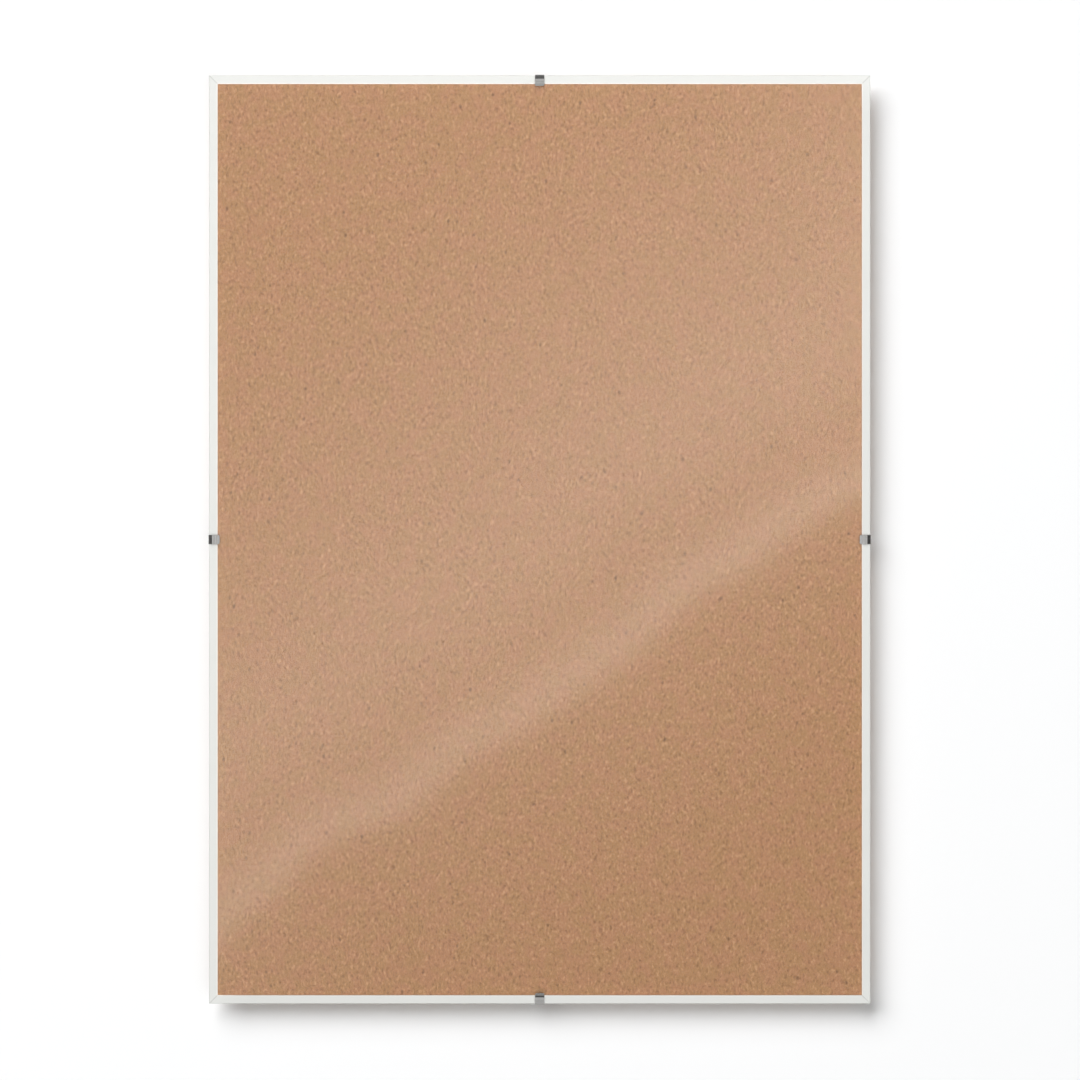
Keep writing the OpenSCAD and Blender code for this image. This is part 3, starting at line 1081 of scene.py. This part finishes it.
@dataclass
class Hanger:
    """Pressed plate with its barrel, and the wire ring in it, in millimetres."""

    edge: Edge
    plate_node: str
    ring_node: str
    ring_body: str
    hinge_in: float = 70.0
    hinge_y: float = 3.04731
    plate_rounding: float = 0.12
    plate_angle: float = 34.0
    plate_merge: float = 0.002
    wire_r: float = 0.8
    wire_sides: int = 24
    wire_step: float = 0.9
    ring_half_w: float = 11.5
    ring_h: float = 21.0
    corner_r: float = 2.0
    tip_r: float = 3.0
    end_gap: float = 0.6
    end_dome: float = 0.35
    end_face: float = 0.04
    end_steps: int = 5

    def build_plate(self) -> bpy.types.Object:
        """Takes a merged copy of the plate's solid and rounds its sheared edges.

        Returns:
            The plate.
        """
        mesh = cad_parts[self.plate_node].data.copy()
        mesh.name = f"{self.plate_node}_pressed"
        with editing(mesh) as work:
            bmesh.ops.remove_doubles(work, verts=work.verts, dist=self.plate_merge * MM)
            bmesh.ops.recalc_face_normals(work, faces=work.faces)
        mesh.materials.clear()
        mesh.polygons.foreach_set("use_smooth", np.full(len(mesh.polygons), True))
        plate = add_object(mesh.name, mesh)
        soften(plate, self.plate_rounding, self.plate_angle)
        return plate

    def wire_line(self) -> tuple[np.ndarray, np.ndarray, np.ndarray]:
        """Middle line of the wire, with a dome at each cut end.

        Beyond each end the wire's radius shrinks as the cosine of an angle to a
        small face, while the line moves on by the sine.

        Returns:
            Points of the line, its direction at each, and the share of the wire's
            radius there.
        """
        half, high, gap = self.ring_half_w, self.ring_h, self.end_gap / 2
        corners = ((gap, 0.0), (half, 0.0), (0.0, high), (-half, 0.0), (-gap, 0.0))
        radii = (0.0, self.corner_r, self.tip_r, self.corner_r, 0.0)
        path = bent_path(corners, radii, self.wire_step)
        way = np.gradient(path, axis=0)
        way /= np.linalg.norm(way, axis=1)[:, None]
        angle = np.linspace(math.pi / 2, 0.0, self.end_steps + 1)[:-1]
        shrunk = np.cos(angle) * (1.0 - self.end_face) + self.end_face
        inset = self.wire_r * self.end_dome
        back = (inset - inset * np.sin(angle))[:, None]
        head, tail = path[0] + way[0] * back, path[-1] - way[-1] * back[::-1]
        path[0] += way[0] * inset
        path[-1] -= way[-1] * inset
        line = np.concatenate([head, path, tail])
        way = np.pad(way, ((self.end_steps, self.end_steps), (0, 0)), mode="edge")
        return line, way, np.concatenate([shrunk, np.ones(len(path)), shrunk[::-1]])

    def build_ring(self) -> bpy.types.Object:
        """Carries a circle along the ring's middle line.

        At a point of the line with direction t, the circle lies in the plane of the
        Y axis and the normal that is square to t.

        Returns:
            The ring's object.
        """
        line, way, share = self.wire_line()
        turn = np.linspace(0.0, 2 * math.pi, self.wire_sides, endpoint=False)
        flat = np.zeros(len(line))
        normal = np.stack([-way[:, 1], flat, way[:, 0]], axis=1)
        middle = np.stack([line[:, 0], flat, line[:, 1]], axis=1)
        out = np.cos(turn)[None, :, None] * normal[:, None, :]
        up = np.sin(turn)[None, :, None] * np.array([0.0, 1.0, 0.0])
        points = middle[:, None, :] + (self.wire_r * share)[:, None, None] * (out + up)
        grid = numbered(*points.shape[:2])
        s = np.broadcast_to(path_length(line)[:, None], grid.shape)
        along = np.stack([s, np.broadcast_to(turn * self.wire_r, grid.shape)], axis=-1)
        place = (0.0, self.hinge_y, self.edge.distance - self.hinge_in)
        surface = Surface(
            self.edge.place(points.reshape(-1, 3) + place) * MM,
            [lattice_faces(grid, wrap=True), grid[:1, ::-1], grid[-1:]],
            along=along.reshape(-1, 2) * MM,
        )
        return surface.object(f"{self.ring_node}_wire")

    def dress(self, plate: bpy.types.Object, ring: bpy.types.Object) -> None:
        """Gives plate and ring their zinc and seats each on its body."""
        settle(plate, HANGER_ZINC, "back", self.plate_node)
        settle(ring, RING_ZINC, self.ring_body, self.ring_node)


# Studio

# Grey levels that the world shows to mirrors, in front and behind from straight down
# (0) to straight up (1), and over a slanted panel beside the viewer.
FRONT_BANDS: Line = (
    (0.0, 0.50), (0.22, 0.46), (0.26, 0.20), (0.31, 0.20), (0.37, 0.50),
    (0.68, 0.50), (0.74, 0.32), (0.79, 0.09), (1.0, 0.09),
)
REAR_BANDS: Line = (
    (0.0, 0.45), (0.42, 0.30), (0.52, 0.80), (0.64, 0.90),
    (0.80, 0.35), (0.92, 0.10), (1.0, 0.05),
)
PANEL_BAND: Line = ((0.38, 0.0), (0.42, 1.0), (0.48, 0.6), (0.53, 0.45), (0.60, 0.0))

# Glow of the card along the line across its bright band, in metres on the glass.
CARD_SPAN = (-0.30, 0.34)
CARD_BANDS: Line = (
    (-0.26, 0.00), (-0.20, 0.07), (-0.15, 0.17), (-0.115, 0.26), (-0.100, 0.36),
    (-0.090, 0.80), (-0.080, 1.00), (-0.068, 0.78), (-0.052, 0.58), (-0.035, 0.64),
    (-0.010, 0.76), (0.020, 0.78), (0.060, 0.66), (0.120, 0.50), (0.180, 0.34),
    (0.240, 0.22), (0.320, 0.20),
)


@dataclass(frozen=True)
class Paint(Finish):
    """Matt paint of the wall or the floor, which may be clear from behind."""

    colour: Colour
    clear_behind: bool = False

    def draw(self, graph: Graph) -> Socket:
        """Plain diffuse paint, mixed with clear where the back of the plane shows."""
        inputs = {"Color": self.colour, "Roughness": 0.0}
        paint = graph.node("ShaderNodeBsdfDiffuse", inputs).outputs["BSDF"]
        if not self.clear_behind:
            return paint
        behind = graph.node("ShaderNodeNewGeometry").outputs["Backfacing"]
        return graph.shader_mix(behind, paint, graph.clear())


@dataclass(frozen=True)
class SoftCard(Finish):
    """Glow of the card behind the camera, with a slanted bright band.

    The card is `reach` times as large as its mirror image on the glass.
    """

    reach: float
    slant: float = 34.5
    power: float = 1.45
    tint: Colour = (1.0, 0.985, 0.93)

    def draw(self, graph: Graph) -> Socket:
        """Reads the bands across the slant, slowly waved and brighter to the right."""
        turned = graph.mapping(graph.place(), (1 / self.reach,) * 3, self.slant)
        parts = graph.parts(turned)
        wave = graph.noise(graph.mapping(turned, (1, 0, 0.15)), 7.0, 1.0)
        wave = graph.ramp(wave, 0.3, 0.7, (-0.012, 0.012), False)
        across = graph.math("ADD", parts["Z"], wave)
        low, high = CARD_SPAN
        points = tuple(((s - low) / (high - low), v) for s, v in CARD_BANDS)
        glow = graph.stops(graph.ramp(across, low, high, smooth=False), points)
        glow = graph.mix(glow, (0.0, 0.0, 0.0), self.tint)
        right = graph.ramp(parts["X"], -0.30, 0.30, (0.88, 1.10))
        power = graph.math("MULTIPLY", right, self.power)
        light = graph.node("ShaderNodeEmission", {"Color": glow, "Strength": power})
        both = {0: light.outputs["Emission"], 1: graph.clear()}
        return graph.node("ShaderNodeAddShader", both).outputs["Shader"]


def collect(name: str, objects: list[bpy.types.Object]) -> bpy.types.Collection:
    """Gathers objects in a collection that lights can be aimed at.

    Args:
        name: Name of the collection.
        objects: Objects to gather.

    Returns:
        The collection.
    """
    made = bpy.data.collections.new(name)
    for item in objects:
        made.objects.link(item)
    return made


@dataclass(frozen=True)
class Light:
    """A soft light that isn't mirrored in the metal or the glass.

    A sun's energy is in watts per square metre and its size an angle in degrees. An
    area light is a disc with its energy in watts and its size in metres.
    """

    name: str
    kind: str
    energy: float
    size: float
    place: Triple
    aim: Triple = (0.0, 0.0, 0.0)
    falls_on: str | None = None
    shadow_of: str | None = None

    def hang(self, groups: dict[str, bpy.types.Collection]) -> None:
        """Hangs the light.

        Args:
            groups: Collections by the names that the light falls on or is blocked by.
        """
        data = bpy.data.lights.new(self.name, self.kind)
        data.energy = self.energy
        if self.kind == "SUN":
            data.angle = math.radians(self.size)
        else:
            data.shape = "DISK"
            data.size = self.size
        lamp = add_object(self.name, data)
        lamp.location = self.place
        way = Vector(self.aim) - Vector(self.place)
        lamp.rotation_euler = way.to_track_quat("-Z", "Y").to_euler()
        lamp.visible_glossy = False
        lamp.visible_transmission = False
        if self.falls_on:
            lamp.light_linking.receiver_collection = groups[self.falls_on]
        if self.shadow_of:
            lamp.light_linking.blocker_collection = groups[self.shadow_of]


# The wall's key from the upper left and its weak fill from the lower right set how far
# and how softly the frame's shadow falls. The frame's own key is more frontal, and a
# nearer light above gives its fall-off. The last two light the back.
ON_FRAME = {"falls_on": "frame", "shadow_of": "opaque"}
LIGHTS = (
    Light(
        *("wall_key", "AREA", 10700.0, 21.6, (-10.8, -12.0, 13.8)),
        aim=(-10.8, 0.0, 13.8),
        falls_on="wall",
    ),
    Light(
        *("wall_fill", "AREA", 930.0, 16.8, (7.2, -12.0, -6.0)),
        aim=(7.2, 0.0, -6.0),
        falls_on="wall",
    ),
    Light("frame_key", "SUN", 3.6, 70.0, (-0.02, -1.0, -0.20), **ON_FRAME),
    Light("top_light", "AREA", 25.0, 1.6, (0.04, -1.6, 1.20), **ON_FRAME),
    Light("floor_key", "SUN", 2.4, 30.0, (-0.3, -0.3, 1.0), falls_on="floor"),
    Light("rear", "AREA", 40.0, 1.4, (-1.2, 1.9, 1.3)),
    Light("rear_fill", "AREA", 16.0, 1.2, (1.6, 1.4, 0.2)),
)


@dataclass
class Studio:
    """White wall, pale floor, mirrored surroundings and the photograph's camera."""

    front_y: float = FRONT_Y * MM
    lens: float = 100.0
    sensor: float = 36.0
    field_width: float = 0.7036
    camera_x: float = 0.0002
    camera_z: float = -0.0003
    wall_y: float = 0.0120
    wall_half_w: float = 4.0
    wall_top: float = 3.0
    floor_z: float = -0.42
    floor_half_w: float = 6.0
    card_distance: float = 2.25
    card_half_w: float = 1.6

    @property
    def camera_distance(self) -> float:
        """Distance from the glass: the view's width there times lens over sensor."""
        return self.field_width * self.lens / self.sensor

    def camera(self) -> None:
        """Sets up the straight frontal camera, whose view is the photograph's."""
        data = bpy.data.cameras.new("photo_camera")
        data.lens = self.lens
        data.sensor_width = self.sensor
        data.clip_start = 0.05
        data.clip_end = 50.0
        camera = add_object("photo_camera", data)
        y = self.front_y - self.camera_distance
        camera.location = (self.camera_x, y, self.camera_z)
        camera.rotation_euler = (math.pi / 2, 0.0, 0.0)
        bpy.context.scene.camera = camera

    def plane(
        self,
        name: str,
        corners: tuple[Triple, ...],
        finish: Finish,
        unseen_by: tuple[str, ...],
    ) -> bpy.types.Object:
        """Makes a flat stage piece.

        Args:
            name: Name of the piece.
            corners: Its four corners.
            finish: Its finish.
            unseen_by: Kinds of ray that pass it by.

        Returns:
            The stage piece.
        """
        mesh = bpy.data.meshes.new(name)
        mesh.from_pydata(corners, [], [(0, 1, 2, 3)])
        mesh.materials.append(finish.material())
        made = add_object(name, mesh)
        for ray in unseen_by:
            setattr(made, f"visible_{ray}", False)
        made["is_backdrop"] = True
        return made

    def wall(self) -> bpy.types.Object:
        """Puts a white wall close behind the frame, and returns it.

        It is unseen from the rear and keeps no light from the back of the frame.
        """
        w, y, low, high = self.wall_half_w, self.wall_y, self.floor_z, self.wall_top
        corners = ((-w, y, low), (w, y, low), (w, y, high), (-w, y, high))
        paint = Paint("white_wall", (0.797, 0.80, 0.803), clear_behind=True)
        return self.plane("wall", corners, paint, ("shadow", "diffuse", "glossy"))

    def floor(self) -> bpy.types.Object:
        """Lays a plain pale floor below the camera's view, and returns it."""
        w, z = self.floor_half_w, self.floor_z
        corners = ((-w, -w, z), (w, -w, z), (w, w, z), (-w, w, z))
        paint = Paint("pale_floor", (0.86, 0.86, 0.85))
        unseen_by = ("glossy", "transmission", "diffuse", "shadow")
        return self.plane("floor", corners, paint, unseen_by)

    def reflection_card(self, glass: bpy.types.Collection) -> None:
        """Hangs a large soft card behind the camera, which only the glass mirrors.

        At distance D from the glass, with the camera at distance c, the point of the
        card that the glass mirrors at g lies at g (1 + D / c).

        Args:
            glass: Collection that holds the pane.
        """
        glow = SoftCard("soft_card", 1.0 + self.card_distance / self.camera_distance)
        w, y = self.card_half_w, self.front_y - self.card_distance
        corners = ((-w, y, -w), (w, y, -w), (w, y, w), (-w, y, w))
        card = self.plane("card", corners, glow, ("camera", "diffuse", "shadow"))
        glow.material().cycles.emission_sampling = "NONE"
        card.light_linking.receiver_collection = glass

    def world(self) -> None:
        """Surrounds the frame with a soft studio that only mirrors and glass see.

        In front it is light with dark bands above and below, beside it a slanted
        panel glows, and its sides darken towards the viewer. The eye sees a plain
        pale backdrop, and the surfaces get a weak even light from it.
        """
        world = bpy.data.worlds.new("studio")
        bpy.context.scene.world = world
        world.use_nodes = True
        world.cycles.sampling_method = "NONE"
        graph = Graph(world.node_tree)
        parts = graph.parts(graph.node("ShaderNodeTexCoord").outputs["Generated"])
        height = graph.ramp(parts["Z"], -1.0, 1.0, smooth=False)
        front = graph.stops(height, FRONT_BANDS)
        aside = graph.math("ABSOLUTE", parts["X"])
        slant = graph.math("ADD", aside, graph.math("MULTIPLY", parts["Z"], 0.6))
        panel = graph.stops(slant, PANEL_BAND)
        panel = graph.math("MULTIPLY", panel, graph.ramp(aside, 0.42, 0.50))
        front = graph.mix(panel, front, (2.1, 2.1, 2.1))
        under = graph.ramp(parts["Z"], -0.4, -0.6)
        edge = graph.ramp(parts["Y"], -0.14, 0.12, (0.065, 0.52))
        right = graph.ramp(parts["Y"], -0.10, 0.14, (0.045, 0.45))
        edge = graph.mix(graph.ramp(parts["X"], 0.3, 0.6), edge, right)
        side = graph.mix(under, edge, (0.42, 0.42, 0.42))
        rear = graph.stops(height, REAR_BANDS)
        mirrored = graph.mix(graph.ramp(parts["Y"], -0.40, -0.31), front, side)
        mirrored = graph.mix(graph.ramp(parts["Y"], 0.35, 0.70), mirrored, rear)
        path = graph.node("ShaderNodeLightPath").outputs
        rays = (path["Is Glossy Ray"], path["Is Transmission Ray"])
        by_mirror = graph.math("MAXIMUM", *rays)
        even = graph.ramp(parts["Y"], -0.1, 0.1, (0.04, 0.5))
        seen = graph.mix(by_mirror, even, mirrored)
        seen = graph.mix(path["Is Camera Ray"], seen, (0.93, 0.93, 0.925))
        sky = graph.node("ShaderNodeBackground", {"Color": seen, "Strength": 1.0})
        graph.node("ShaderNodeOutputWorld", {"Surface": sky.outputs["Background"]})

    def tone(self) -> None:
        """Shows light as it falls, without a film curve, and limits the bounces."""
        view = bpy.context.scene.view_settings
        view.view_transform = "Standard"
        view.look = "None"
        view.exposure = 0.0
        view.gamma = 1.0
        cycles = bpy.context.scene.cycles
        cycles.max_bounces = 8
        cycles.diffuse_bounces = 2
        cycles.glossy_bounces = 4
        cycles.transmission_bounces = 8


def main() -> None:
    """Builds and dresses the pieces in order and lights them."""
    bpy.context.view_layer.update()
    pane = GlassPane()
    pane_object = pane.build()
    pane.dress(pane_object)
    BackBoard().dress()
    for edge in (Edge.TOP, Edge.BOTTOM, Edge.LEFT, Edge.RIGHT):
        name = edge.name.lower()
        clip = SpringClip(edge, f"clip_{name}", f"{name}_clip")
        clip.dress(clip.build())
    for edge, name in ((Edge.TOP, "top"), (Edge.RIGHT, "side")):
        nodes = (f"hanger_plate_{name}", f"hanger_ring_{name}")
        hanger = Hanger(edge, *nodes, f"{name}_ring")
        hanger.dress(hanger.build_plate(), hanger.build_ring())
    shown = list(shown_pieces())
    studio = Studio()
    studio.camera()
    groups = {
        "frame": collect("lit_as_frame", shown),
        "opaque": collect("opaque_pieces", [p for p in shown if p != pane_object]),
        "wall": collect("lit_as_wall", [studio.wall()]),
        "floor": collect("lit_as_floor", [studio.floor()]),
    }
    for light in LIGHTS:
        light.hang(groups)
    studio.world()
    studio.reflection_card(collect("mirrors_card", [pane_object]))
    studio.tone()


if __name__ == "__main__":
    main()
